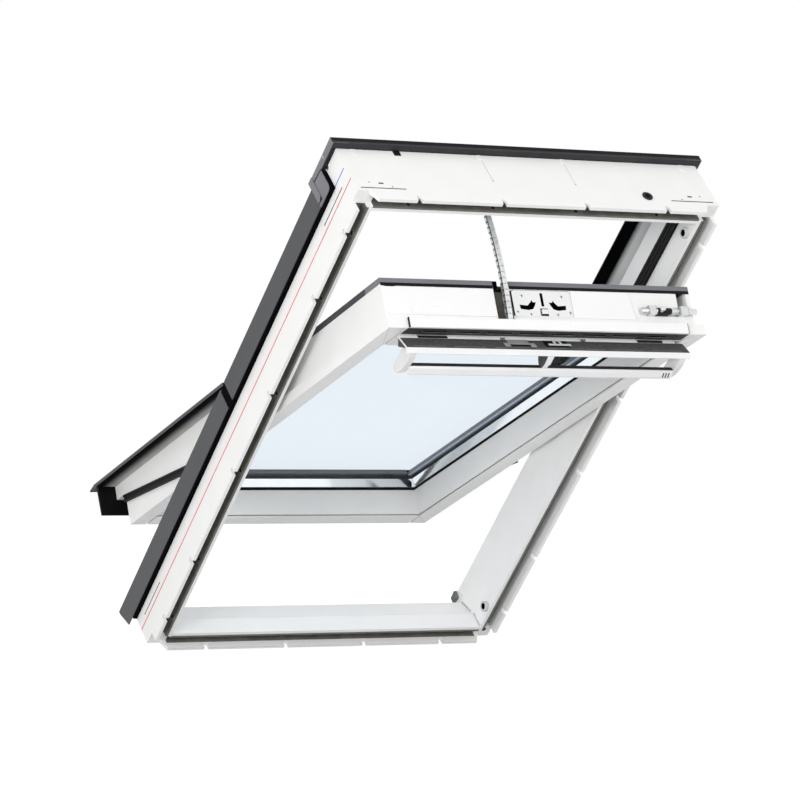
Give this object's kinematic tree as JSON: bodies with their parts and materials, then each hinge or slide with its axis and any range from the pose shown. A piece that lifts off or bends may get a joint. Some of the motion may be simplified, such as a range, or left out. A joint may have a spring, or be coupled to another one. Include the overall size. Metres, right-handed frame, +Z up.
{
  "type": "roof window",
  "caption": "Centre-pivot roof window, swung open by a push chain from the sash head, with grey sheet covers, double glazing, a ventilation flap with a grab bar, and a barrel bolt.",
  "frame": {"origin": "middle of the frame's bottom outer edge, at the lip that meets the lining", "axes": "+X across the window to the right seen from the room, +Y level towards the outside, +Z up; the roof slope rises towards -Y and +Z at 45 degrees"},
  "size_m": [0.8038, 1.1398, 0.9479],
  "materials": {
    "white_moulding": "satin",
    "white_plastic": "satin",
    "grey_cladding": "satin",
    "black_foam": "matte",
    "black_rubber": "matte",
    "clear_glass": "gloss",
    "bright_steel": "satin",
    "grey_plastic": "matte",
    "dark_plastic": "matte"
  },
  "bodies": {
    "frame": {"frame_left": "white_moulding", "frame_right": "white_moulding", "frame_top": "white_moulding", "frame_bottom": "white_moulding", "lower_cover_left": "grey_cladding", "lower_cover_right": "grey_cladding", "upper_cover_left": "grey_cladding", "upper_cover_right": "grey_cladding", "casing_lid_left": "grey_cladding", "casing_lid_right": "grey_cladding", "head_casing": "grey_cladding", "head_foam": "black_foam", "frame_seal_left": "black_rubber", "frame_seal_right": "black_rubber", "side_foam_left": "black_foam", "side_foam_right": "black_foam", "track_plate_left": "bright_steel", "track_plate_right": "bright_steel", "bolt_bushes": "grey_plastic", "cable_grommet": "grey_plastic", "strike_plate": "bright_steel", "chain_bracket": "dark_plastic", "chain_outer_links": "bright_steel", "chain_inner_links": "bright_steel"},
    "sash": {"sash_left": "white_moulding", "sash_right": "white_moulding", "sash_top": "white_moulding", "sash_bottom": "white_moulding", "inner_pane": "clear_glass", "outer_pane": "clear_glass", "spacer_bar": "bright_steel", "room_seal": "black_rubber", "weather_seal": "black_rubber", "sash_cover_low_left": "grey_cladding", "sash_cover_low_right": "grey_cladding", "sash_cover_high_left": "grey_cladding", "sash_cover_high_right": "grey_cladding", "sash_cover_head": "grey_cladding", "sash_cover_foot": "grey_cladding", "drip_profile": "black_rubber", "ramp_seal_left": "black_rubber", "ramp_seal_right": "black_rubber", "pivot_shoe_left": "bright_steel", "pivot_shoe_right": "bright_steel", "lock_plate": "bright_steel", "lock_case": "bright_steel", "lock_screws": "bright_steel", "opener_housing": "dark_plastic", "cover_left": "white_moulding", "cover_right": "white_moulding", "front_strip": "white_moulding", "bolt_guides": "bright_steel", "flap_hinge_rod": "bright_steel"},
    "flap": {"flap_profile": "white_plastic", "grab_bar": "white_plastic", "end_cap_left": "white_plastic", "end_cap_right": "white_plastic", "bar_stay": "white_plastic", "flap_catch": "bright_steel"},
    "bolt": {"barrel_bolt": "bright_steel"}
  },
  "joints": [
    {"name": "sash_pivot", "type": "hinge", "parent": "frame", "child": "sash", "pos_m": [0, -0.29203, 0.54094], "axis": [1, 0, 0], "range_deg": [-25.83, 0], "deforming": ["chain_outer_links", "chain_inner_links"]},
    {"name": "flap_hinge", "type": "hinge", "parent": "sash", "child": "flap", "pos_m": [0, -0.8139, 0.58685], "axis": [1, 0, 0], "range_deg": [-53, 0]},
    {"name": "bolt_slide", "type": "slide", "parent": "sash", "child": "bolt", "axis": [1, 0, 0], "range_m": [0, 0.0155]}
  ]
}
